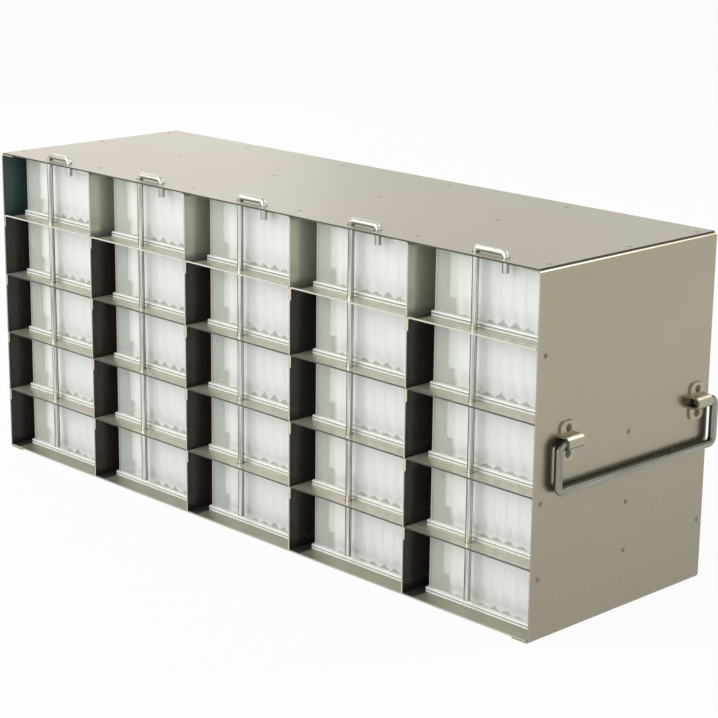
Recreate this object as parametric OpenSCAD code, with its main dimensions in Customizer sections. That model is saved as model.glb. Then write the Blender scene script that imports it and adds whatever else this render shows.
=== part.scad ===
// Freezer rack for well plates, in millimetres, +Z up, with its open front towards -Y.
// A case of spot-welded stainless sheet has columns of shelves, a wire locking rod hangs
// down the front of each column, a bail handle swings on the right end, and a sealed
// well plate stands in every bay. The case is sized around the plate and its clearances.

/* [Well plates] */
// Width of a plate's footprint, across the bay
plate_w = 85.48; // [82:0.01:90]
// Depth of a plate's footprint, into the bay
plate_d = 127.76; // [120:0.01:136]
// Height of a plate
plate_h = 37; // [28:0.5:45]
// Corner radius of a plate's footprint
plate_corner_r = 3.2; // [2:0.1:5]
// Height of the flange around a plate's base
plate_flange_h = 2.4; // [1.5:0.1:5]
// Distance that the side walls stand in from the base flange
plate_wall_inset = 1.4; // [0.8:0.1:2]
// Thickness of the side walls
plate_wall_t = 1.1; // [0.8:0.1:1.5]
// Thickness of the sealed deck at the top
plate_deck_t = 1.4; // [1:0.1:3]
// Wells across a plate
wells_across = 8; // [4:1:8]
// Wells along a plate
wells_along = 12; // [6:1:12]
// Distance between neighbouring wells
well_pitch = 9; // [8.8:0.05:9.1]
// Thickness of the wells' outer walls beyond the pitch
well_rim = 0.7; // [0.3:0.1:1.5]
// Radius of the grooves between neighbouring wells, down the outside of their block
well_groove_r = 0.8; // [0.4:0.1:1.5]
// Height of the square wells' lower edge above the plate's base
well_shoulder_z = 10; // [7:0.5:14]
// Radius of a well's round foot and of its ball end
well_foot_r = 4.3; // [3.5:0.05:4.35]
// Height of the feet's ball ends above the plate's base
well_foot_z = 1.4; // [0.6:0.1:2.4]

/* [Bays] */
// Columns of bays
columns = 5; // [2:1:6]
// Rows of bays
rows = 5; // [2:1:5]
// Gap between a plate and the wall on its left
plate_left_gap = 6.1; // [1.5:0.1:10]
// Gap between a plate and the wall on its right
plate_right_gap = 1.42; // [1:0.01:8]
// Gap between a plate and the locking rod in front of it
plate_rod_gap = 2.15; // [1:0.05:8]
// Gap between a plate and the lip behind it
plate_rear_gap = 7.34; // [2:0.01:15]
// Gap between a plate's base and its shelf
plate_seat_gap = 0.2; // [0.1:0.05:0.5]
// Room between a plate and the shelf above it
headroom = 1.8; // [1:0.1:10]
// Further room in the top row
top_headroom = 1.7; // [1.2:0.1:10]

/* [Sheet metal] */
// Thickness of the stainless sheet
sheet_t = 0.9; // [0.6:0.1:1.2]
// Outside radius of the bends in the sheet
bend_r = 1.8; // [1.5:0.1:2.5]
// Width of the flanges on the end panels and dividers
flange_w = 12; // [8:0.5:20]
// Height of the shelf flanges that are bent down along the walls
shelf_flange_h = 8; // [5:0.5:12]
// Height of the lip that is bent up behind each plate
rear_lip_h = 10; // [6:0.5:16]

/* [Locking rods] */
// Diameter of the rod wire
rod_d = 3.7; // [2.5:0.1:5]
// Distance from the front edges to the rod's centre
rod_setback = 7.4; // [5:0.1:12]
// Distance from a bay's left wall to the rod's centre
rod_from_wall = 42.3; // [30:0.1:55]
// Gap all round a rod in its holes
rod_hole_gap = 0.3; // [0.2:0.05:0.8]
// Height of the rod's lower end above the base
rod_end_z = 8; // [4:0.5:30]
// Distance from the rod to the short leg of its hook
hook_reach = 21.1; // [14:0.1:28]
// Radius inside the hook's bends
hook_inner_r = 0.7; // [0.4:0.1:4]
// Length of the short leg below the top of the case
hook_leg = 8; // [4:0.5:20]

/* [Handle] */
// Diameter of the bail wire
bail_d = 4.8; // [3.5:0.1:6]
// Drop from the pivot to the bail's grip
bail_drop = 26; // [16:0.5:40]
// Bend radius at the bail's corners, to the wire's centre
bail_bend_r = 3.8; // [3.4:0.1:7]
// Gap between the bail wire and the end panel
bail_wall_gap = 1.4; // [0.3:0.1:6]
// Running clearance of the bail in its clips
bail_clearance = 0.08; // [0.02:0.01:0.1]
// Gap between the front clip and the bail's bend beside it
bail_front_gap = 0.25; // [0.2:0.05:3]
// Gap between the rear clip and the bail's bend beside it
bail_rear_gap = 2; // [0.2:0.05:3]
// Length of the bail's ends inside the clips
bail_insert = 9.5; // [5:0.5:11]
// Width of a clip along the pivot
clip_w = 12.7; // [11.5:0.1:18]
// Height of a clip
clip_h = 21.6; // [20:0.2:30]
// Thickness of the clip strap
clip_t = 1.2; // [0.8:0.1:1.5]
// Corner radius at a clip's two ends
clip_corner_r = 3.8; // [1:0.1:5.5]
// Distance from the case's front edge to the front clip
clip_front_margin = 18.75; // [14:0.05:40]
// Distance from the rear clip to the case's rear edge
clip_rear_margin = 4.95; // [1:0.05:40]
// Height of the pivot above the middle of the case
pivot_above_middle = 6.5; // [-10:0.5:20]
// Diameter of the rivets
rivet_d = 2.8; // [2:0.1:3.2]
// Diameter of the rivet heads
rivet_head_d = 4.6; // [4:0.1:5.6]
// Height of the rivet heads
rivet_head_h = 1; // [0.6:0.1:1.4]
// Distance from the pivot to the rivets
rivet_from_pivot = 7.1; // [6.6:0.1:8]
// Gap round the rivet shanks
rivet_gap = 0.05; // [0.02:0.01:0.1]

/* [Hidden] */
$fn = 48;
STEEL = "#b9b4a5";
STEEL_WIRE = "#d2d0c8";
PLATE_PLASTIC = "#e9edeb";

// The bays and the case around them
rod_r = rod_d / 2;
rod_hole_r = rod_r + rod_hole_gap;
hook_rise = rod_r + hook_inner_r;
plate_setback = rod_setback + rod_r + plate_rod_gap;
bay_w = plate_left_gap + plate_w + plate_right_gap;
bay_h = plate_seat_gap + plate_h + headroom;
column_pitch = bay_w + sheet_t;
row_pitch = bay_h + sheet_t;
floor_top = 2 * sheet_t;
top_under = floor_top + rows * row_pitch - sheet_t + top_headroom;
case_w = columns * column_pitch + sheet_t;
case_d = plate_setback + plate_d + plate_rear_gap + sheet_t;
case_h = top_under + sheet_t;

// The handle on the right end
bail_r = bail_d / 2;
barrel_r = bail_r + bail_clearance;
clip_outer_r = barrel_r + clip_t;
pivot_x = case_w + bail_r + bail_wall_gap;
pivot_z = case_h / 2 + pivot_above_middle;
clip_front_y = clip_front_margin + clip_w / 2;
clip_rear_y = case_d - clip_rear_margin - clip_w / 2;
leg_front_y = clip_front_y - clip_w / 2 - bail_front_gap - bail_bend_r;
leg_rear_y = clip_rear_y + clip_w / 2 + bail_rear_gap + bail_bend_r;
rivet_r = rivet_d / 2;

// The frame's origin is at the bottom centre of the box around the whole rack
box_w = pivot_x + clip_outer_r;
box_d = max(case_d, leg_rear_y + bail_r);
// Length by which a cut runs past the faces that it opens
cut = 1;
// Length by which one form of a moulding is rooted in the next
root = 0.7;

function bay_x(column) = sheet_t + (column - 1) * column_pitch;
function shelf_top(row) = floor_top + (rows - row) * row_pitch;

COLUMN_LIST = [1:columns];
ROW_LIST = [1:rows];
DIVIDER_LIST = [1:columns - 1];

// Moves a piece from the case's front left bottom corner to the frame's origin
module in_frame() {
    translate([-box_w / 2, -box_d / 2, 0]) children();
}

// A quarter of a bent sheet's section, in the corner between +X and +Y
module bend_section() {
    intersection() {
        difference() {
            circle(bend_r);
            circle(bend_r - sheet_t);
        }
        square(bend_r);
    }
}

// Draws a section in X and Z along the depth of the case
module along_depth(length) {
    translate([0, length, 0]) rotate([90, 0, 0]) linear_extrude(length) children();
}

// Draws a section in Y and Z along the width of the case
module along_width(length) {
    rotate([90, 0, 90]) linear_extrude(length) children();
}

// The lip bent up at the rear of a sheet whose underside is at z = 0
module rear_lip(width) {
    translate([bend_r, case_d - bend_r, 0]) along_width(width - 2 * bend_r) {
        translate([0, bend_r]) mirror([0, 1]) bend_section();
        translate([bend_r - sheet_t, bend_r]) square([sheet_t, rear_lip_h - bend_r]);
    }
}

module rod_hole(column, x_from_rod) {
    translate([bay_x(column) + rod_from_wall + x_from_rod, rod_setback, -cut])
        cylinder(r = rod_hole_r, h = case_h + 2 * cut);
}

// The flat sheet on top, with a hole for each rod and for the short leg of its hook
module top_sheet() {
    color(STEEL) in_frame() difference() {
        translate([bend_r, 0, top_under]) cube([case_w - 2 * bend_r, case_d, sheet_t]);
        for (c = COLUMN_LIST) {
            rod_hole(c, 0);
            rod_hole(c, hook_reach);
        }
    }
}

// The floor lies on the end panels' lower flanges, and its lip is notched at each divider
module floor_sheet() {
    color(STEEL) in_frame() translate([0, 0, sheet_t]) {
        translate([bend_r, 0, 0]) cube([case_w - 2 * bend_r, case_d - bend_r, sheet_t]);
        for (c = COLUMN_LIST) translate([bay_x(c), 0, 0]) rear_lip(bay_w);
    }
}

// An end panel's section: an upright web with a flange bent in at the top and the bottom
module end_panel_section() {
    translate([0, bend_r]) square([sheet_t, top_under - 2 * bend_r]);
    translate([bend_r, bend_r]) rotate(180) bend_section();
    translate([bend_r, top_under - bend_r]) mirror([1, 0]) bend_section();
    translate([bend_r, 0]) square([flange_w - bend_r, sheet_t]);
    translate([bend_r, top_under - sheet_t]) square([flange_w - bend_r, sheet_t]);
}

module left_end_panel() {
    color(STEEL) in_frame() along_depth(case_d) end_panel_section();
}

module right_end_panel() {
    color(STEEL) in_frame() difference() {
        along_depth(case_d) translate([case_w, 0]) mirror([1, 0]) end_panel_section();
        at_rivets() rotate([0, 90, 0])
            cylinder(r = rivet_r + rivet_gap, h = 2 * (sheet_t + cut), center = true);
    }
}

// A divider stands on the floor, and its top flange is welded under the top sheet
module divider(number) {
    web_right = bay_x(number + 1);
    color(STEEL) in_frame() along_depth(case_d) {
        translate([web_right - sheet_t, floor_top])
            square([sheet_t, top_under - bend_r - floor_top]);
        translate([web_right - bend_r, top_under - bend_r]) bend_section();
        translate([web_right - flange_w, top_under - sheet_t])
            square([flange_w - bend_r, sheet_t]);
    }
}

// A shelf is a pan with flanges bent down along both walls and a lip bent up at the rear
module shelf() {
    translate([0, 0, sheet_t]) {
        along_depth(case_d - bend_r) {
            translate([bend_r, -sheet_t]) square([bay_w - 2 * bend_r, sheet_t]);
            for (side = [0, 1]) translate([side * bay_w, 0]) mirror([side, 0]) {
                translate([bend_r, -bend_r]) mirror([1, 0]) bend_section();
                translate([0, -shelf_flange_h]) square([sheet_t, shelf_flange_h - bend_r]);
            }
        }
        translate([0, 0, -sheet_t]) rear_lip(bay_w);
    }
}

module shelves_column(column) {
    color(STEEL) in_frame() difference() {
        for (r = [1:rows - 1]) translate([bay_x(column), 0, shelf_top(r) - sheet_t]) shelf();
        rod_hole(column, 0);
    }
}

// A quarter ring of wire in X and Z, from +X round to +Z
module wire_bend(wire_r, ring_r) {
    rotate([90, 0, 0]) rotate_extrude(angle = 90) translate([ring_r, 0]) circle(wire_r);
}

// A rod hangs by its bends, which can't pass the holes in the top sheet
module locking_rod(column) {
    color(STEEL_WIRE) in_frame()
        translate([bay_x(column) + rod_from_wall, rod_setback, 0]) {
            translate([0, 0, rod_end_z]) cylinder(r = rod_r, h = case_h - rod_end_z);
            translate([hook_rise, 0, case_h]) mirror([1, 0, 0]) wire_bend(rod_r, hook_rise);
            translate([hook_rise, 0, case_h + hook_rise]) rotate([0, 90, 0])
                cylinder(r = rod_r, h = hook_reach - 2 * hook_rise);
            translate([hook_reach - hook_rise, 0, case_h]) wire_bend(rod_r, hook_rise);
            translate([hook_reach, 0, case_h - hook_leg]) cylinder(r = rod_r, h = hook_leg);
        }
}

// One corner of the bail in Y and Z: side is -1 at the front, level is -1 at the grip
module bail_corner(side, level) {
    flip_y = side < 0 ? 1 : 0;
    flip_z = level < 0 ? 1 : 0;
    mirror([0, flip_y, 0]) mirror([0, 0, flip_z])
        rotate([0, 0, 90]) wire_bend(bail_r, bail_bend_r);
}

// One half of the bail from its pivot end down to the middle of the grip
module bail_side(side, clip_y, leg_y) {
    bend_y = leg_y - side * bail_bend_r;
    end_y = clip_y + side * (clip_w / 2 - bail_insert);
    translate([pivot_x, min(end_y, bend_y), pivot_z]) rotate([-90, 0, 0])
        cylinder(r = bail_r, h = abs(bend_y - end_y));
    translate([pivot_x, bend_y, pivot_z - bail_bend_r]) bail_corner(side, 1);
    translate([pivot_x, leg_y, pivot_z - bail_drop + bail_bend_r])
        cylinder(r = bail_r, h = bail_drop - 2 * bail_bend_r);
    translate([pivot_x, bend_y, pivot_z - bail_drop + bail_bend_r]) bail_corner(side, -1);
}

module handle_bail() {
    grip_front = leg_front_y + bail_bend_r;
    grip_rear = leg_rear_y - bail_bend_r;
    color(STEEL_WIRE) in_frame() {
        bail_side(-1, clip_front_y, leg_front_y);
        bail_side(1, clip_rear_y, leg_rear_y);
        translate([pivot_x, grip_front, pivot_z - bail_drop]) rotate([-90, 0, 0])
            cylinder(r = bail_r, h = grip_rear - grip_front);
    }
}

// A clip's section in X and Z round the pivot: two feet and an arch over the bail's end
module clip_section() {
    foot_x = case_w - pivot_x;
    difference() {
        union() {
            translate([foot_x, -clip_h / 2]) square([clip_t, clip_h]);
            translate([foot_x, -clip_outer_r]) square([-foot_x, 2 * clip_outer_r]);
            circle(clip_outer_r);
        }
        circle(barrel_r);
        translate([foot_x - cut, -barrel_r]) square([cut - foot_x, 2 * barrel_r]);
    }
}

// A rectangle with round corners, drawn round its own centre
module round_outline(width, depth, corner_r) {
    square([width, depth - 2 * corner_r], center = true);
    square([width - 2 * corner_r, depth], center = true);
    for (x = [-1, 1], y = [-1, 1])
        translate([x * (width / 2 - corner_r), y * (depth / 2 - corner_r)]) circle(corner_r);
}

module handle_clip(clip_y) {
    color(STEEL) in_frame() difference() {
        translate([pivot_x, clip_y, pivot_z]) intersection() {
            translate([0, -clip_w / 2, 0]) along_depth(clip_w) clip_section();
            translate([case_w - pivot_x, 0, 0]) along_width(pivot_x)
                round_outline(clip_w, clip_h, clip_corner_r);
        }
        at_rivets() rotate([0, 90, 0]) cylinder(r = rivet_r + rivet_gap, h = clip_t + cut);
    }
}

module handle_clip_front() {
    handle_clip(clip_front_y);
}

module handle_clip_rear() {
    handle_clip(clip_rear_y);
}

// Puts a rivet, or its hole, in each foot of both clips, on the panel's outer face
module at_rivets() {
    for (y = [clip_front_y, clip_rear_y], side = [-1, 1])
        translate([case_w, y, pivot_z + side * rivet_from_pivot]) children();
}

// A rivet has a domed head on its clip, and its tail is driven flush inside the panel
module rivet() {
    head_r = rivet_head_d / 2;
    dome_r = (head_r * head_r + rivet_head_h * rivet_head_h) / (2 * rivet_head_h);
    rotate([0, 90, 0]) {
        translate([0, 0, -sheet_t]) cylinder(r = rivet_r, h = sheet_t + clip_t);
        translate([0, 0, clip_t]) intersection() {
            translate([0, 0, rivet_head_h - dome_r]) sphere(dome_r);
            cylinder(r = head_r, h = rivet_head_h);
        }
    }
}

module handle_rivets() {
    color(STEEL_WIRE) in_frame() at_rivets() rivet();
}

// The round foot of one well: a ball end, and a straight part that runs up into the square part
module well_foot() {
    ball_z = well_foot_z + well_foot_r;
    rotate_extrude() translate([0, ball_z]) {
        intersection() {
            circle(well_foot_r);
            translate([0, -well_foot_r]) square(well_foot_r);
        }
        square([well_foot_r, well_shoulder_z + root - ball_z]);
    }
}

// The block of square wells, drawn round its own centre, with a groove between each two
module well_block() {
    block_w = wells_across * well_pitch + 2 * well_rim;
    block_d = wells_along * well_pitch + 2 * well_rim;
    block_h = plate_h - plate_deck_t + root - well_shoulder_z;
    translate([0, 0, well_shoulder_z]) difference() {
        translate([-block_w / 2, -block_d / 2, 0]) cube([block_w, block_d, block_h]);
        for (i = [1:wells_across - 1], side = [-1, 1])
            translate([(i - wells_across / 2) * well_pitch, side * block_d / 2, -cut])
                cylinder(r = well_groove_r, h = block_h + 2 * cut);
        for (j = [1:wells_along - 1], side = [-1, 1])
            translate([side * block_w / 2, (j - wells_along / 2) * well_pitch, -cut])
                cylinder(r = well_groove_r, h = block_h + 2 * cut);
    }
}

// A plate is one moulding: a skirt with a base flange, a closed deck and hanging wells
module well_plate(column, row) {
    wall_w = plate_w - 2 * plate_wall_inset;
    wall_d = plate_d - 2 * plate_wall_inset;
    wall_corner_r = plate_corner_r - plate_wall_inset;
    cavity_w = wall_w - 2 * plate_wall_t;
    cavity_d = wall_d - 2 * plate_wall_t;
    centre_x = bay_x(column) + plate_left_gap + plate_w / 2;
    centre_y = plate_setback + plate_d / 2;
    color(PLATE_PLASTIC) in_frame()
        translate([centre_x, centre_y, shelf_top(row) + plate_seat_gap]) {
            difference() {
                union() {
                    linear_extrude(plate_flange_h) round_outline(plate_w, plate_d, plate_corner_r);
                    linear_extrude(plate_h) round_outline(wall_w, wall_d, wall_corner_r);
                }
                translate([-cavity_w / 2, -cavity_d / 2, -cut])
                    cube([cavity_w, cavity_d, plate_h - plate_deck_t + cut]);
            }
            well_block();
            for (i = [1:wells_across], j = [1:wells_along]) translate([
                (i - (wells_across + 1) / 2) * well_pitch,
                (j - (wells_along + 1) / 2) * well_pitch,
                0]) well_foot();
        }
}

top_sheet();
floor_sheet();
left_end_panel();
right_end_panel();
for (c = DIVIDER_LIST)
    divider(c);
for (c = COLUMN_LIST)
    shelves_column(c);
for (c = COLUMN_LIST)
    locking_rod(c);
handle_bail();
handle_clip_front();
handle_clip_rear();
handle_rivets();
for (c = COLUMN_LIST, r = ROW_LIST)
    well_plate(c, r);
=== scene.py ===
# A freezer rack of spot-welded stainless sheet, with a well plate in each of its bays.
# Metres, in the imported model's frame: +X towards the handle, -Y out of the open front.
import math

import bmesh
import bpy
from mathutils import Matrix, Vector


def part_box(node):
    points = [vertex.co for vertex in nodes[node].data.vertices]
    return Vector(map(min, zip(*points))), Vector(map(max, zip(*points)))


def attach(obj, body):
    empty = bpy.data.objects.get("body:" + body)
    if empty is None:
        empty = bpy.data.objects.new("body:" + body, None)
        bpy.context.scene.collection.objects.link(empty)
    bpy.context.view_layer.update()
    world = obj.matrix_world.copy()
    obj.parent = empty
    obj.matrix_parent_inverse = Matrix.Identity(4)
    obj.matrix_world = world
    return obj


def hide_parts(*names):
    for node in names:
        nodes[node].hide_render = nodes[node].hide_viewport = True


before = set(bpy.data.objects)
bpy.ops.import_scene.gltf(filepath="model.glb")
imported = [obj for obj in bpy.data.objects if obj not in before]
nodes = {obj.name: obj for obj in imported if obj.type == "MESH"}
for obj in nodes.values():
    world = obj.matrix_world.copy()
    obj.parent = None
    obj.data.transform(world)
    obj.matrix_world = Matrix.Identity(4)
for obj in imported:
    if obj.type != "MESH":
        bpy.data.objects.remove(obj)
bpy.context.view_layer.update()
MM = 0.001

# The camera stands to the right of the open front and a little above the rack,
# with a long lens, so that the front, the top and the handle's end all show.
IMAGE_PX = 718
FOCAL_PX = 2069
CAMERA_YAW = math.radians(45.66)
CAMERA_PITCH = math.radians(15.11)
CAMERA_ROLL = math.radians(0.66)
CAMERA_PLACE = Vector((0.8951, -0.8515, 0.430))

camera_data = bpy.data.cameras.new("camera")
camera_data.sensor_width = 36
camera_data.lens = camera_data.sensor_width * FOCAL_PX / IMAGE_PX
camera = bpy.data.objects.new("camera", camera_data)
turn = Matrix.Rotation(CAMERA_YAW, 4, "Z")
tilt = Matrix.Rotation(math.pi / 2 - CAMERA_PITCH, 4, "X")
roll = Matrix.Rotation(CAMERA_ROLL, 4, "Z")
camera.matrix_world = Matrix.Translation(CAMERA_PLACE) @ turn @ tilt @ roll
bpy.context.scene.collection.objects.link(camera)
bpy.context.scene.camera = camera
bpy.context.scene.view_settings.view_transform = "Standard"


# The stage is a wide white floor under soft light, with a white world round it.
# Rays from the camera, and those in metal and clear plastic, see the same white.
class Field:
    """A value that varies over a surface. Sums and products of fields add Math nodes."""

    def __init__(self, tree, socket):
        self.tree = tree
        self.socket = socket

    def node(self, kind, settings, inputs, output=0):
        made = self.tree.nodes.new(kind)
        for name, value in settings.items():
            setattr(made, name, value)
        for name, value in inputs.items():
            if isinstance(value, Field):
                self.tree.links.new(value.socket, made.inputs[name])
            else:
                made.inputs[name].default_value = value
        return Field(self.tree, made.outputs[output])

    def maths(self, operation, first, second=0.0):
        return self.node("ShaderNodeMath", {"operation": operation}, {0: first, 1: second})

    def __add__(self, other):
        return self.maths("ADD", self, other)

    def __sub__(self, other):
        return self.maths("SUBTRACT", self, other)

    def __rsub__(self, other):
        return self.maths("SUBTRACT", other, self)

    def __mul__(self, other):
        return self.maths("MULTIPLY", self, other)

    def __truediv__(self, other):
        return self.maths("DIVIDE", self, other)

    __radd__ = __add__
    __rmul__ = __mul__

    def size(self):
        return self.maths("ABSOLUTE", self)

    def clamped(self):
        return self.node("ShaderNodeClamp", {}, {"Value": self})

    def rising(self, low, high):
        """0 below low, 1 above high, and smooth between them."""
        return self.node("ShaderNodeMapRange", {"interpolation_type": "SMOOTHSTEP"},
                         {"Value": self, "From Min": low, "From Max": high})

    def noise(self, stretch, detail=2.0):
        place = self.node("ShaderNodeMapping", {}, {"Vector": self, "Scale": stretch})
        return self.node("ShaderNodeTexNoise", {}, {"Vector": place, "Scale": 1.0, "Detail": detail})

    def colours(self, first, second):
        """Blends from the first colour, where the field is 0, to the second, where it is 1."""
        return self.node("ShaderNodeMix", {"data_type": "RGBA"}, {0: self, 6: first, 7: second}, 2)

    def parts(self):
        return [self.node("ShaderNodeSeparateXYZ", {}, {0: self}, axis) for axis in range(3)]


def new_finish(name):
    """A new material, with its shader and the object coordinates that its patterns read."""
    material = bpy.data.materials.new(name)
    material.use_nodes = True
    tree = material.node_tree
    shader = tree.nodes["Principled BSDF"]
    place = Field(tree, tree.nodes.new("ShaderNodeTexCoord").outputs["Object"])
    return material, shader, place


def feed(shader, **values):
    """Links fields to the shader's sockets, or sets plain values on them."""
    for name, value in values.items():
        socket = shader.inputs[name.replace("_", " ")]
        if isinstance(value, Field):
            value.tree.links.new(value.socket, socket)
        else:
            socket.default_value = value


def seen_white(tree):
    """1 for the rays that show the background, 0 for those that only carry its light."""
    path = tree.nodes.new("ShaderNodeLightPath")
    kinds = ("Camera", "Glossy", "Transmission")
    camera_ray, glossy_ray, clear_ray = [Field(tree, path.outputs[f"Is {kind} Ray"]) for kind in kinds]
    return (camera_ray + glossy_ray + clear_ray).clamped()


FLOOR_SIZE = 40
FLOOR_GREY = (0.9, 0.9, 0.9, 1)
FLOOR_ROUGH = 0.9
WHITE = (1, 1, 1, 1)
FLOOR_GLOW = 0.93
WORLD_LIGHT = 0.45

bm = bmesh.new()
bmesh.ops.create_grid(bm, x_segments=1, y_segments=1, size=FLOOR_SIZE / 2)
floor_mesh = bpy.data.meshes.new("floor")
bm.to_mesh(floor_mesh)
bm.free()
floor = bpy.data.objects.new("floor", floor_mesh)
bpy.context.scene.collection.objects.link(floor)

floor_finish, floor_shader = new_finish("floor")[:2]
feed(floor_shader, Base_Color=FLOOR_GREY, Roughness=FLOOR_ROUGH)
floor_tree = floor_finish.node_tree
glow = floor_tree.nodes.new("ShaderNodeEmission")
glow.inputs["Color"].default_value = WHITE
floor_mix = floor_tree.nodes.new("ShaderNodeMixShader")
floor_tree.links.new((seen_white(floor_tree) * FLOOR_GLOW).socket, floor_mix.inputs[0])
floor_tree.links.new(floor_shader.outputs[0], floor_mix.inputs[1])
floor_tree.links.new(glow.outputs[0], floor_mix.inputs[2])
floor_tree.links.new(floor_mix.outputs[0], floor_tree.nodes["Material Output"].inputs["Surface"])
floor_mesh.materials.append(floor_finish)

world = bpy.data.worlds.new("world")
bpy.context.scene.world = world
world.use_nodes = True
world_tree = world.node_tree
world_shader = world_tree.nodes["Background"]
world_shader.inputs["Color"].default_value = WHITE
world_light = seen_white(world_tree) * (1 - WORLD_LIGHT) + WORLD_LIGHT
world_tree.links.new(world_light.socket, world_shader.inputs["Strength"])

# Lamps: a large key at the front left, a soft one over the left end of the top, and a
# small one high behind the right end, which draws the bright line along the panel's bend.
LAMPS = {
    "key_lamp": ((-0.7, -1.9, 0.8), 2.6, 52),
    "top_lamp": ((-1.5, 0.75, 0.62), 1.0, 1.9),
    "edge_lamp": ((0.55, 0.9, 1.1), 0.5, 4),
}
LAMPS_AIM = Vector((0, 0, 0.1))
for name, (place, size, watts) in LAMPS.items():
    lamp_data = bpy.data.lights.new(name, "AREA")
    lamp_data.size = size
    lamp_data.energy = watts
    lamp = bpy.data.objects.new(name, lamp_data)
    lamp.location = place
    lamp.rotation_euler = (LAMPS_AIM - Vector(place)).to_track_quat("-Z", "Y").to_euler()
    bpy.context.scene.collection.objects.link(lamp)

# The top sheet: flat stainless sheet with a fine mill grain along the rack. Its edge faces are painted
# dark, as painted shade and dark reflection, and it is spot-welded to the flanges under it.
COLUMNS = 5
ROWS = 5
TOP_STEEL = (0.46, 0.42, 0.325, 1)
TOP_ROUGH = 0.3
MILL_METALLIC = 0.6
STEEL_SHADE = 0.86
GRAIN_FINE = 900
GRAIN_LONG = 25
CLOUDS = (7, 7, 7)
ALONG_X = (GRAIN_LONG, GRAIN_FINE, GRAIN_FINE)
ALONG_Y = (GRAIN_FINE, GRAIN_LONG, GRAIN_FINE)
ALONG_Z = (GRAIN_FINE, GRAIN_FINE, GRAIN_LONG)
GRAIN_SHARE = 0.4
CLOUD_SHARE = 0.8
TONE_FROM = 0.1
GRAIN_ROUGH = 0.1
CLOUD_ROUGH = 0.08
GRAIN_STRENGTH = 0.02
GRAIN_DEPTH = 0.05 * MM
EDGE_PAINTED_SHADE = (0.035, 0.030, 0.022, 1)
EDGE_SHADE_RANGE = (0.4, 0.6)


def darker(colour, share):
    return tuple(share * part for part in colour[:3]) + (1,)


def sheet_steel(name, grain, steel, rough, metallic, *stains_and_shades):
    """Stainless sheet with its grain drawn out one way.

    Each stain, and each patch of painted light or shade, gives, from the place and the facing, a mask of
    what isn't bare steel and its colour.
    """
    material, shader, place = new_finish(name)
    streaks = place.noise(grain)
    smudges = place.noise(CLOUDS)
    tone = (streaks * GRAIN_SHARE + smudges * CLOUD_SHARE - TONE_FROM).clamped()
    colour = tone.colours(darker(steel, STEEL_SHADE), steel)
    bare = 1
    facing = place.node("ShaderNodeNewGeometry", {}, {}, "Normal")
    for stain_and_shade in stains_and_shades:
        mask, stain_and_shade_colour = stain_and_shade(place, facing)
        colour = mask.colours(colour, stain_and_shade_colour)
        bare = (1 - mask) * bare
    bump = place.node("ShaderNodeBump", {},
                      {"Height": streaks, "Strength": GRAIN_STRENGTH, "Distance": GRAIN_DEPTH})
    feed(shader, Base_Color=colour, Metallic=bare * metallic,
         Roughness=streaks * GRAIN_ROUGH + smudges * CLOUD_ROUGH + rough, Normal=bump)
    return material


def dress(names, material):
    """Gives CAD nodes their finish."""
    for name in names:
        nodes[name].data.materials.clear()
        nodes[name].data.materials.append(material)


# Painted shade: every face of the sheet that isn't turned up or down is painted dark.
def painted_shade_on_edges(place, facing):
    upward = facing.parts()[2].size()
    return 1 - upward.rising(*EDGE_SHADE_RANGE), EDGE_PAINTED_SHADE


top_steel = sheet_steel("top_sheet_steel", ALONG_X, TOP_STEEL, TOP_ROUGH, MILL_METALLIC, painted_shade_on_edges)
dress(["top_sheet"], top_steel)

# The upright sheets: two end panels with flanges bent in, which mirror what is close to them and are
# painted darker towards the base as painted shade, and four dividers. Inside the bays below the top
# row their broad faces are painted nearly black as painted shade, and the left end's inner face above
# that is painted dark teal as a painted reflection; their front edges stay bright.
END_STEEL = (0.425, 0.388, 0.292, 1)
END_LOW_SHADE = (0.16, 0.145, 0.105, 1)
LOW_SHADE_H = 160 * MM
LOW_SHADE_SHARE = 0.28
END_ROUGH = 0.16
END_METALLIC = 0.9
WALL_ROUGH = 0.15
DIVIDER_STEEL = (0.58, 0.575, 0.48, 1)
WALL_PAINTED_SHADE = (0.024, 0.015, 0.014, 1)
WALL_PAINTED_REFLECTION = (0.030, 0.070, 0.066, 1)
TURNED = (0.6, 0.9)
SHEET_T = 0.9 * MM
LIP_H = 10 * MM
top_shelf_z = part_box("shelves_column_1")[1].z - LIP_H + SHEET_T
left_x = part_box("left_end_panel")[0].x
right_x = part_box("right_end_panel")[1].x


def broad_inside(place, facing):
    """The mask of the broad faces of upright sheet that are turned into the bays."""
    x = place.parts()[0]
    broad = facing.parts()[0].size().rising(*TURNED)
    after_left = x.rising(left_x + 0.4 * SHEET_T, left_x + 0.6 * SHEET_T)
    before_right = 1 - x.rising(right_x - 0.6 * SHEET_T, right_x - 0.4 * SHEET_T)
    return broad * after_left * before_right


def below_top_row(place):
    return 1 - place.parts()[2].rising(top_shelf_z - 2 * SHEET_T, top_shelf_z - SHEET_T)


# Painted shade: the broad faces turned into the bays below the top row are painted nearly black.
def painted_shade_in_bays(place, facing):
    return broad_inside(place, facing) * below_top_row(place), WALL_PAINTED_SHADE


# Painted reflection and shade: the left end's inner face is painted dark teal in the top row and nearly
# black below it.
def painted_shade_and_reflection_left_end(place, facing):
    return broad_inside(place, facing), below_top_row(place).colours(WALL_PAINTED_REFLECTION, WALL_PAINTED_SHADE)


# Painted shade: the end panels are painted darker towards the base.
def painted_shade_low(place, facing):
    return (1 - place.parts()[2].rising(0, LOW_SHADE_H)) * LOW_SHADE_SHARE, END_LOW_SHADE


def end_steel(name, *stains_and_shades):
    return sheet_steel(name, ALONG_Z, END_STEEL, END_ROUGH, END_METALLIC, *stains_and_shades)


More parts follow.
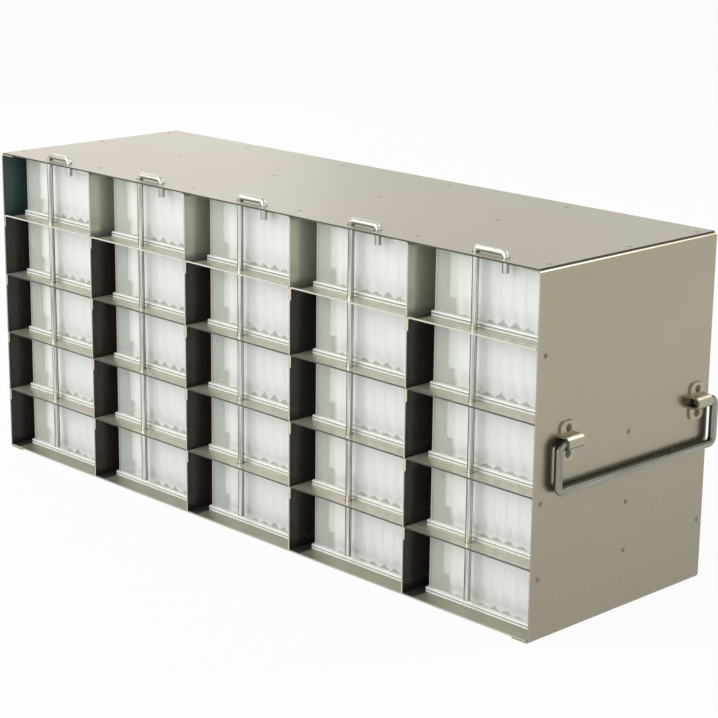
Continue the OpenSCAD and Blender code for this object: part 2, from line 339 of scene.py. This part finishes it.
dress(["right_end_panel"], end_steel("right_end_steel", painted_shade_low, painted_shade_in_bays))
dress(["left_end_panel"], end_steel("left_end_steel", painted_shade_low, painted_shade_and_reflection_left_end))
divider_steel = sheet_steel("divider_steel", ALONG_Z, DIVIDER_STEEL, WALL_ROUGH, MILL_METALLIC, painted_shade_in_bays)
dress([f"divider_{c}" for c in range(1, COLUMNS)], divider_steel)

# The shelves, four pans to a column with flanges bent down along the walls and a lip bent up
# behind each plate, and the floor sheet. The pans are streaked where plates rub them, and their
# steel is painted lighter than the top sheet's, as painted light. Their front edges are painted
# dark as painted shade, apart from the top shelf's, which are painted light as a painted highlight.
# Under the plates' fronts, and beside them on the top shelf and the floor, the sheet is painted
# nearly black as painted shade, and so are the flanges in the bays below the top row.
# Painted light: the pans' steel is painted lighter than the top sheet's steel.
SHELF_STEEL_PAINTED_LIGHTER = (0.70, 0.645, 0.515, 1)
SHELF_EDGE_SHADE = (0.06, 0.053, 0.042, 1)
EDGE_PAINTED_HIGHLIGHT = (0.60, 0.56, 0.47, 1)
SHELF_PAINTED_SHADE = (0.030, 0.033, 0.030, 1)
SHELF_RUB = (0.36, 0.325, 0.25, 1)
RUB_GRAIN = (9, 420, 420)
RUB_RANGE = (0.45, 0.75)
RUB_SHARE = 0.4
TURNED_OUT = (0.7, 0.9)
SHADE_INSET = 4 * MM
SHADE_DEPTH = 24 * MM
plate_low, plate_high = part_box(f"well_plate_c1_r{ROWS}")
plate_size = plate_high - plate_low
column_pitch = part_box(f"well_plate_c2_r{ROWS}")[0].x - plate_low.x
row_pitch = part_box(f"well_plate_c1_r{ROWS - 1}")[0].z - plate_low.z


def within(field, start, pitch):
    """The distance from the start of a pattern that repeats at a pitch."""
    return field.maths("FRACT", (field - start) / pitch) * pitch


def on_top_shelf(place):
    return place.parts()[2].rising(top_shelf_z - 3 * SHEET_T, top_shelf_z - 2 * SHEET_T)


def rubbed_streaks(place, facing):
    return place.noise(RUB_GRAIN).rising(*RUB_RANGE) * RUB_SHARE, SHELF_RUB


# Painted shade and highlight: the pans' front edges are painted dark, and the top shelf's are painted
# light.
def front_edges_shade_and_highlight(place, facing):
    turned_out = facing.parts()[1].size().rising(*TURNED_OUT)
    up_the_pan = within(place.parts()[2], top_shelf_z - 1.1 * SHEET_T, row_pitch)
    pan = 1 - up_the_pan.rising(1.2 * SHEET_T, 1.3 * SHEET_T)
    return turned_out * pan, on_top_shelf(place).colours(SHELF_EDGE_SHADE, EDGE_PAINTED_HIGHLIGHT)


# Painted shade: the pan is painted nearly black under each plate, behind its front.
def painted_shade_under_plates(place, facing):
    x, y = place.parts()[:2]
    across = within(x, plate_low.x, column_pitch)
    under_x = across.rising(0, SHADE_INSET) * (1 - across.rising(plate_size.x - SHADE_INSET, plate_size.x))
    front = plate_low.y + SHADE_INSET
    under_y = y.rising(front, front + MM) * (1 - y.rising(front + 0.8 * SHADE_DEPTH, front + SHADE_DEPTH))
    return under_x * under_y * facing.parts()[2].rising(*TURNED), SHELF_PAINTED_SHADE


# Painted shade: the pan is painted nearly black in the gap to the left of each plate.
def painted_shade_beside_plates(place, facing):
    across = within(place.parts()[0], left_x, column_pitch)
    beside = 1 - across.rising(plate_low.x - left_x + MM, plate_low.x - left_x + SHADE_INSET)
    return beside * facing.parts()[2].rising(*TURNED), SHELF_PAINTED_SHADE


def painted_shade_beside_on_top_shelf(place, facing):
    beside, dark = painted_shade_beside_plates(place, facing)
    return beside * on_top_shelf(place), dark


shelf_steel = sheet_steel("shelf_steel", ALONG_X, SHELF_STEEL_PAINTED_LIGHTER, WALL_ROUGH, MILL_METALLIC,
                          rubbed_streaks, painted_shade_in_bays, painted_shade_under_plates, painted_shade_beside_on_top_shelf, front_edges_shade_and_highlight)
dress([f"shelves_column_{c}" for c in range(1, COLUMNS + 1)], shelf_steel)
floor_steel = sheet_steel("floor_sheet_steel", ALONG_X, TOP_STEEL, TOP_ROUGH, MILL_METALLIC,
                          painted_shade_under_plates, painted_shade_beside_plates)
dress(["floor_sheet"], floor_steel)

# Spot welds: small dished marks where the electrodes pressed flange and sheet together,
# a burnt ring round a dull centre, on the top sheet and on both end panels.
WELD_R = 1.5 * MM
WELD_SIDES = 16
WELD_RIM = 0.25 * WELD_R
WELD_DISH = 0.3 * WELD_R
WELD_PROUD = 0.03 * MM
WELD_FLANGE = 6 * MM
WELD_ROWS_Y = (13 * MM, 78 * MM, 137 * MM)
PANEL_WELDS = {
    5.6 * MM: (35 * MM, 77 * MM, 157 * MM),
    77 * MM: (34 * MM, 62 * MM, 102 * MM),
    143 * MM: (36 * MM,),
}
WELD_RING = (0.12, 0.10, 0.07, 1)
WELD_CENTRE = (0.27, 0.24, 0.18, 1)
WELD_METALLIC = 0.5
WELD_ROUGH = 0.35
BURN_GRAIN = (1500, 1500, 1500)
BURN_SHADE = 0.6
BURN_ROUGH = 0.2


def weld_mark(bm):
    """One mark on the XY plane: a low rim round a dished centre."""
    bmesh.ops.create_circle(bm, cap_ends=True, segments=WELD_SIDES, radius=WELD_R)
    disc = bm.faces[:]
    bmesh.ops.translate(bm, verts=bm.verts, vec=(0, 0, WELD_PROUD))
    bmesh.ops.inset_region(bm, faces=disc, thickness=WELD_RIM, depth=WELD_PROUD)
    bmesh.ops.inset_region(bm, faces=disc, thickness=WELD_DISH, depth=-WELD_PROUD)
    for face in bm.faces:
        face.material_index = 0
    disc[0].material_index = 1


def fresh_mesh(shape, name):
    """A mesh made by a function that shapes an empty bmesh."""
    bm = bmesh.new()
    shape(bm)
    bmesh.ops.recalc_face_normals(bm, faces=bm.faces)
    mesh = bpy.data.meshes.new(name)
    bm.to_mesh(mesh)
    bm.free()
    return mesh


def add_copies(bm, mesh, places):
    """Adds a copy of a mesh to a bmesh at each of the places."""
    for place in places:
        copy = mesh.copy()
        copy.transform(place)
        bm.from_mesh(copy)
        bpy.data.meshes.remove(copy)


def link_piece(name, mesh, body, finishes):
    """Makes a piece of a mesh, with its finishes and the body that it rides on."""
    for finish in finishes:
        mesh.materials.append(finish)
    piece = bpy.data.objects.new(name, mesh)
    bpy.context.scene.collection.objects.link(piece)
    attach(piece, body)
    return piece


front_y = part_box("top_sheet")[0].y
top_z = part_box("top_sheet")[1].z
divider_edges = [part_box(f"divider_{c}")[1].x for c in range(1, COLUMNS)]
weld_lines = [left_x + WELD_FLANGE] + [x - WELD_FLANGE for x in divider_edges + [right_x]]
weld_places = [Matrix.Translation((x, front_y + y, top_z)) for x in weld_lines for y in WELD_ROWS_Y]
for wall_x, quarter in ((right_x, math.pi / 2), (left_x, -math.pi / 2)):
    for y, heights in PANEL_WELDS.items():
        for z in heights:
            upright = Matrix.Rotation(quarter, 4, "Y")
            weld_places.append(Matrix.Translation((wall_x, front_y + y, z)) @ upright)

weld_mesh = fresh_mesh(weld_mark, "weld_mark")
bm = bmesh.new()
add_copies(bm, weld_mesh, weld_places)
welds_mesh = bpy.data.meshes.new("spot_welds")
bm.to_mesh(welds_mesh)
bm.free()


def weld_steel(name, colour):
    material, shader, place = new_finish(name)
    burn = place.noise(BURN_GRAIN)
    feed(shader, Base_Color=burn.colours(darker(colour, BURN_SHADE), colour), Metallic=WELD_METALLIC,
         Roughness=burn * BURN_ROUGH + WELD_ROUGH)
    return material


link_piece("spot_welds", welds_mesh, "rack",
           [weld_steel("weld_ring", WELD_RING), weld_steel("weld_centre", WELD_CENTRE)])

# The locking rods: drawn stainless wire, one down the front of each column through holes
# in the top sheet and the shelves, with a hook at the top that is dropped into a second hole.
# The wire's colour is painted nearly black down two sides, as painted shade and dark reflection at its
# edges.
WIRE_LIGHT = (0.72, 0.71, 0.65, 1)
WIRE_DEEP = (0.38, 0.375, 0.335, 1)
WIRE_PAINTED_SHADE = (0.12, 0.12, 0.10, 1)
ROD_SHADE_SIDE = (0.65, 0.69, 0)
ROD_SHADE_RANGE = (0.6, 0.88)
DRAWN_SHARE = 0.85
DRAWN_RANGE = (0.34, 0.64)
DRAWN_STRENGTH = 0.06
DRAWN_DEPTH = 0.03 * MM
RUBBED_SPOTS = (60, 60, 60)
RUBBED_ROUGH = 0.12
WIRE_ROUGH = 0.12


def facing_share(place, direction):
    """How far a surface is turned to a direction: 1 is towards it, -1 away from it."""
    normal = place.node("ShaderNodeTexCoord", {}, {}, "Normal")
    return place.node("ShaderNodeVectorMath", {"operation": "DOT_PRODUCT"},
                      {0: normal, 1: direction}, "Value")


def wire_steel(name, light, deep, painted_shade, painted_shade_mask, grain, cross_grain, crosswise):
    """Drawn wire, with its grain along one way, and along the other where crosswise(place) is 1, and
    painted shade where the mask is 1.
    """
    material, shader, place = new_finish(name)
    across = crosswise(place)
    drawn = place.noise(grain) * (1 - across) + place.noise(cross_grain) * across
    rubbed = place.noise(RUBBED_SPOTS)
    tone = (drawn * DRAWN_SHARE + rubbed * (1 - DRAWN_SHARE)).rising(*DRAWN_RANGE)
    colour = painted_shade_mask(place).colours(tone.colours(deep, light), painted_shade)
    bump = place.node("ShaderNodeBump", {},
                      {"Height": drawn, "Strength": DRAWN_STRENGTH, "Distance": DRAWN_DEPTH})
    feed(shader, Base_Color=colour, Metallic=1.0, Roughness=rubbed * RUBBED_ROUGH + WIRE_ROUGH, Normal=bump)
    return material


def over_the_top(place):
    return place.parts()[2].rising(top_z, top_z + 2 * MM)


# Painted shade: the rod is painted dark down its two sides, below the top sheet.
def rod_painted_shade_sides(place):
    turned = facing_share(place, ROD_SHADE_SIDE)
    return turned.size().rising(*ROD_SHADE_RANGE) * (1 - over_the_top(place))


rod_wire = wire_steel("rod_wire", WIRE_LIGHT, WIRE_DEEP, WIRE_PAINTED_SHADE, rod_painted_shade_sides,
                      ALONG_Z, ALONG_X, over_the_top)
dress([f"locking_rod_{c}" for c in range(1, COLUMNS + 1)], rod_wire)

# The handle: a bail of thicker wire that swings in two clips of bent strap. Its back and top are
# painted nearly black, as painted shade and dark reflection. Two rivets hold each clip to the panel; their
# heads are coloured dark.
BAIL_LIGHT = (0.33, 0.32, 0.275, 1)
BAIL_DEEP = (0.22, 0.215, 0.18, 1)
BAIL_PAINTED_SHADE = (0.03, 0.028, 0.024, 1)
BAIL_SHADE_SIDE = (-0.5, -0.1, 0.86)
BAIL_SHADE_RANGE = (-0.2, 0.45)
RIVET_DARK = (0.05, 0.046, 0.036, 1)
RIVET_WORN = (0.16, 0.15, 0.12, 1)
RIVET_GRAIN = (700, 700, 700)
RIVET_METALLIC = 0.7
RIVET_ROUGH = 0.3
WORN_ROUGH = 0.2


def rivet_steel(name):
    material, shader, place = new_finish(name)
    worn = place.noise(RIVET_GRAIN)
    feed(shader, Base_Color=worn.colours(RIVET_DARK, RIVET_WORN), Metallic=RIVET_METALLIC,
         Roughness=worn * WORN_ROUGH + RIVET_ROUGH)
    return material


bail_low, bail_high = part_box("handle_bail")
BAIL_D = 4.8 * MM


def down_the_legs(place):
    y = place.parts()[1]
    front_leg = 1 - y.rising(bail_low.y + BAIL_D, bail_low.y + 1.5 * BAIL_D)
    rear_leg = y.rising(bail_high.y - 1.5 * BAIL_D, bail_high.y - BAIL_D)
    return front_leg + rear_leg


# Painted shade: the bail is painted nearly black on the faces turned back towards the panel and up.
def bail_painted_shade(place):
    return facing_share(place, BAIL_SHADE_SIDE).rising(*BAIL_SHADE_RANGE)


bail_wire = wire_steel("bail_wire", BAIL_LIGHT, BAIL_DEEP, BAIL_PAINTED_SHADE, bail_painted_shade,
                       ALONG_Y, ALONG_Z, down_the_legs)
dress(["handle_bail"], bail_wire)
dress(["handle_clip_front", "handle_clip_rear"], end_steel("clip_steel"))
dress(["handle_rivets"], rivet_steel("rivet_steel"))

# The well plates: one moulding each, with a clear skirt on a base flange and a block of
# milky square wells that end in round feet with ball ends. Each stands free on its shelf.
FLANGE_H = 2.4 * MM
WALL_INSET = 1.4 * MM
WALL_T = 1.1 * MM
CORNER_R = 1.8 * MM
EDGE_R = 0.4 * MM
DECK_T = 1.4 * MM
WELLS = (8, 12)
WELL_PITCH = 9 * MM
WELL_RIM = 0.7 * MM
GROOVE_R = 0.8 * MM
SHOULDER_Z = 10 * MM
FOOT_ROOT = 0.3 * MM
FOOT_R = 4.3 * MM
FOOT_Z = 1.4 * MM
FOOT_SIDES = 12
FOOT_RINGS = 3


def picked(geometry, kind):
    return [item for item in geometry if isinstance(item, kind)]


def plate_skirt(bm):
    """The skirt, drawn round the plate's centre: deck, walls, ledge and flange, with its thickness."""
    wall_w = plate_size.x - 2 * WALL_INSET
    wall_d = plate_size.y - 2 * WALL_INSET
    wall_h = plate_size.z - FLANGE_H
    place = Matrix.Translation((0, 0, FLANGE_H + wall_h / 2)) @ Matrix.Diagonal((wall_w, wall_d, wall_h, 1))
    bmesh.ops.create_cube(bm, size=1, matrix=place)
    base = [face for face in bm.faces if face.normal.z < -0.9]
    bmesh.ops.delete(bm, geom=base, context="FACES_ONLY")
    upright = [e for e in bm.edges if abs(e.verts[0].co.z - e.verts[1].co.z) > wall_h / 2]
    bmesh.ops.bevel(bm, geom=upright, offset=CORNER_R, offset_type="OFFSET", affect="EDGES",
                    segments=4, profile=0.5, material=-1)
    rim = [e for e in bm.edges if e.is_boundary]
    ledge = bmesh.ops.extrude_edge_only(bm, edges=rim)["geom"]
    wider = (plate_size.x / wall_w, plate_size.y / wall_d, 1)
    bmesh.ops.scale(bm, verts=picked(ledge, bmesh.types.BMVert), vec=wider)
    flange = bmesh.ops.extrude_edge_only(bm, edges=picked(ledge, bmesh.types.BMEdge))["geom"]
    bmesh.ops.translate(bm, verts=picked(flange, bmesh.types.BMVert), vec=(0, 0, -FLANGE_H))
    bmesh.ops.recalc_face_normals(bm, faces=bm.faces)
    level = [e for e in bm.edges if not e.is_boundary and e.calc_face_angle(0) > 1
             and abs(e.verts[0].co.z - e.verts[1].co.z) < EDGE_R]
    bmesh.ops.bevel(bm, geom=level, offset=EDGE_R, offset_type="OFFSET", affect="EDGES",
                    segments=2, profile=0.5, material=-1)
    bmesh.ops.solidify(bm, geom=bm.faces[:], thickness=WALL_T)


def block_outline():
    """Corner and groove points round the block of wells, anticlockwise from its front left corner."""
    half = [count * WELL_PITCH / 2 + WELL_RIM for count in WELLS]
    runs = []
    for axis in (0, 1):
        run = [(-half[axis], 0)]
        for i in range(1, WELLS[axis]):
            middle = (i - WELLS[axis] / 2) * WELL_PITCH
            run += [(middle - GROOVE_R, 0), (middle, GROOVE_R), (middle + GROOVE_R, 0)]
        runs.append(run)
    front = [(along, inset - half[1]) for along, inset in runs[0]]
    right = [(half[0] - inset, along) for along, inset in runs[1]]
    return front + right + [(-x, -y) for x, y in front + right]


def well_block(bm):
    """The block of square wells, drawn round the plate's centre."""
    block_top = plate_size.z - DECK_T
    top = bm.faces.new([bm.verts.new((x, y, block_top)) for x, y in block_outline()])
    lower = picked(bmesh.ops.extrude_face_region(bm, geom=[top])["geom"], bmesh.types.BMVert)
    bmesh.ops.translate(bm, verts=lower, vec=(0, 0, SHOULDER_Z - block_top))


def well_foot(bm):
    """The round foot of one well: a ball end, and a straight part that runs up into the block."""
    ball_z = FOOT_Z + FOOT_R
    neck_z = SHOULDER_Z + FOOT_ROOT
    turns = [math.pi / 2 * ring / FOOT_RINGS for ring in range(FOOT_RINGS + 1)]
    profile = [(FOOT_R * math.sin(turn), ball_z - FOOT_R * math.cos(turn)) for turn in turns]
    profile += [(FOOT_R, neck_z), (0, neck_z)]
    verts = [bm.verts.new((r, 0, z)) for r, z in profile]
    edges = [bm.edges.new(ends) for ends in zip(verts, verts[1:])]
    bmesh.ops.spin(bm, geom=verts + edges, cent=(0, 0, 0), axis=(0, 0, 1), angle=2 * math.pi,
                   steps=FOOT_SIDES, use_merge=True)
    bmesh.ops.remove_doubles(bm, verts=bm.verts[:], dist=0.01 * MM)
    for face in bm.faces:
        face.smooth = face.calc_center_median().z < neck_z


well_places = []
for i in range(WELLS[0]):
    for j in range(WELLS[1]):
        x = (i - (WELLS[0] - 1) / 2) * WELL_PITCH
        y = (j - (WELLS[1] - 1) / 2) * WELL_PITCH
        well_places.append(Matrix.Translation((x, y, 0)))

bm = bmesh.new()
bm.from_mesh(fresh_mesh(plate_skirt, "skirt"))
skirt_faces = len(bm.faces)
bm.from_mesh(fresh_mesh(well_block, "well_block"))
add_copies(bm, fresh_mesh(well_foot, "well_foot"), well_places)
for number, face in enumerate(bm.faces):
    face.material_index = 0 if number < skirt_faces else 1
plate_mesh = bpy.data.meshes.new("well_plate")
bm.to_mesh(plate_mesh)
bm.free()

# The plastic is natural polypropylene. The skirt is thin enough to look through, with a
# frosted field on its front that ends in uneven scallops over the feet, painted so that the dark
# inside shows between the feet as painted shade. Its corners are whiter, and so are the flange's
# edges, partly for the thicker plastic there and partly as painted highlight lines. The wells are
# whiter too, with painted shade in the grooves between them.
SKIRT_TINT = (0.82, 0.87, 0.78, 1)
SKIRT_FROST = (0.95, 0.97, 0.96, 1)
CLEAR_ALPHA = 0.31
FROST_ALPHA = 0.16
EDGE_AND_HIGHLIGHT_ALPHA = 0.75
CORNER_ALPHA = 0.45
STRIP_ALPHA = 0.14
FEET_ALPHA = 0.2
FLANGE_ALPHA = 0.08
FROST_FROM = 17 * MM
FROST_FADE = 5 * MM
STRIP_W = 2.2 * MM
FEET_TOP = 8 * MM
SCALLOP_H = 5 * MM
SCALLOP_FADE = 1.8 * MM
SCALLOPS_AT = 57 * MM
SCALLOPS_REACH = 24 * MM
UNEVEN_BROAD = (75, 0, 30)
UNEVEN_FINE = (450, 0, 450)
BROAD_SHARE = 1.6
FINE_SHARE = 0.8
UNEVEN_FROM = 0.7
TOGETHER_SHARE = 0.7
EDGE_LINE = 0.42 * MM
CORNER_RANGE = (0.1, 0.4)
FADE = 0.2 * MM
SKIRT_FLOW = (90, 90, 14)
FLOW_ALPHA = 0.06
FLOW_ROUGH = 0.1
FROST_ROUGH = 0.25
SKIRT_ROUGH = 0.12
WELLS_WHITE = (0.95, 0.965, 0.955, 1)
WELLS_GREY = (0.74, 0.775, 0.76, 1)
WELL_SEAM = 2 * MM
SEAM_SHADE_SHARE = 0.55
WELLS_FLOW = (220, 220, 12)
WELLS_FLOW_SHARE = 0.3
GREY_FROM = 0.1
WELLS_FLOW_ROUGH = 0.15
WELLS_ROUGH = 0.35
skirt_front_y = plate_low.y + WALL_INSET


def skirt_plastic(name):
    material, shader, place = new_finish(name)
    x, y, z = place.parts()
    facing = place.node("ShaderNodeNewGeometry", {}, {}, "Normal").parts()
    height = within(z, plate_low.z - FADE, row_pitch) - FADE
    flange = 1 - height.rising(FLANGE_H, FLANGE_H + FADE)
    at_base = 1 - height.rising(EDGE_LINE, EDGE_LINE + FADE)
    at_ledge = height.rising(FLANGE_H - EDGE_LINE - FADE, FLANGE_H - EDGE_LINE) * flange
    corner = (facing[0].size() * facing[1].size()).rising(*CORNER_RANGE)
    at_front = 1 - y.rising(skirt_front_y + 2 * FADE, skirt_front_y + 4 * FADE)
    across = within(x, plate_low.x, column_pitch)
    margin = (plate_size.x - WELLS[0] * WELL_PITCH) / 2
    from_middle = (within(across, margin, WELL_PITCH) - WELL_PITCH / 2).size()
    between_wells = from_middle / (WELL_PITCH / 2)
    uneven = place.noise(UNEVEN_BROAD) * BROAD_SHARE + place.noise(UNEVEN_FINE) * FINE_SHARE - UNEVEN_FROM
    together = 1 - (across - SCALLOPS_AT).size().rising(0.3 * SCALLOPS_REACH, SCALLOPS_REACH)
    gathered = together * TOGETHER_SHARE + (1 - TOGETHER_SHARE)
    # Painted shade: the frost stops in scallops over the feet, so the dark inside shows between them.
    shade_scallop = between_wells * uneven * gathered * SCALLOP_H + FLANGE_H
    above_shade_scallops = (height - shade_scallop).rising(0, SCALLOP_FADE)
    frost = across.rising(FROST_FROM, FROST_FROM + FROST_FADE) * at_front * above_shade_scallops
    at_feet = frost * (1 - height.rising(0.3 * FEET_TOP, 1.3 * FEET_TOP))
    strip = at_front * (1 - flange) * (1 - across.rising(WALL_INSET + STRIP_W - FADE, WALL_INSET + STRIP_W))
    flow = place.noise(SKIRT_FLOW)
    # Partly painted highlight: the flange's edge lines are whiter and more opaque, for thicker plastic and
    # as painted highlights.
    thick_edge_and_highlight_lines = at_base + at_ledge
    alpha = (frost * FROST_ALPHA + at_feet * FEET_ALPHA + strip * STRIP_ALPHA
             + thick_edge_and_highlight_lines * EDGE_AND_HIGHLIGHT_ALPHA + corner * CORNER_ALPHA - flange * FLANGE_ALPHA)
    white = (frost + thick_edge_and_highlight_lines + corner).clamped()
    feed(shader, Base_Color=white.colours(SKIRT_TINT, SKIRT_FROST),
         Roughness=frost * FROST_ROUGH + flow * FLOW_ROUGH + SKIRT_ROUGH,
         Alpha=(alpha + flow * FLOW_ALPHA + (CLEAR_ALPHA - FLOW_ALPHA / 2)).clamped())
    return material


def wells_plastic(name):
    material, shader, place = new_finish(name)
    x, y = place.parts()[:2]
    facing = place.node("ShaderNodeNewGeometry", {}, {}, "Normal").parts()
    margin = [(plate_size[axis] - WELLS[axis] * WELL_PITCH) / 2 for axis in (0, 1)]
    along_x = within(within(x, plate_low.x, column_pitch), margin[0], WELL_PITCH)
    along_y = within(y, plate_low.y + margin[1], WELL_PITCH)
    from_middle = [(along - WELL_PITCH / 2).size() for along in (along_x, along_y)]
    # Painted shade: the wells are painted grey in the grooves between them.
    seam_shades = [far.rising(WELL_PITCH / 2 - WELL_SEAM, WELL_PITCH / 2) for far in from_middle]
    seam_shade = seam_shades[0] * facing[1].size() + seam_shades[1] * facing[0].size()
    flow = place.noise(WELLS_FLOW)
    grey = (seam_shade * SEAM_SHADE_SHARE + flow * WELLS_FLOW_SHARE - GREY_FROM).clamped()
    feed(shader, Base_Color=grey.colours(WELLS_WHITE, WELLS_GREY),
         Roughness=flow * WELLS_FLOW_ROUGH + WELLS_ROUGH)
    return material


plate_finishes = [skirt_plastic("clear_skirt"), wells_plastic("milky_wells")]
for c in range(1, COLUMNS + 1):
    for r in range(1, ROWS + 1):
        node_name = f"well_plate_c{c}_r{r}"
        low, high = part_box(node_name)
        mesh = plate_mesh.copy()
        mesh.transform(Matrix.Translation(((low.x + high.x) / 2, (low.y + high.y) / 2, low.z)))
        plate = link_piece(f"plate_c{c}_r{r}_moulding", mesh, f"plate_c{c}_r{r}",
                           plate_finishes)
        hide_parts(node_name)
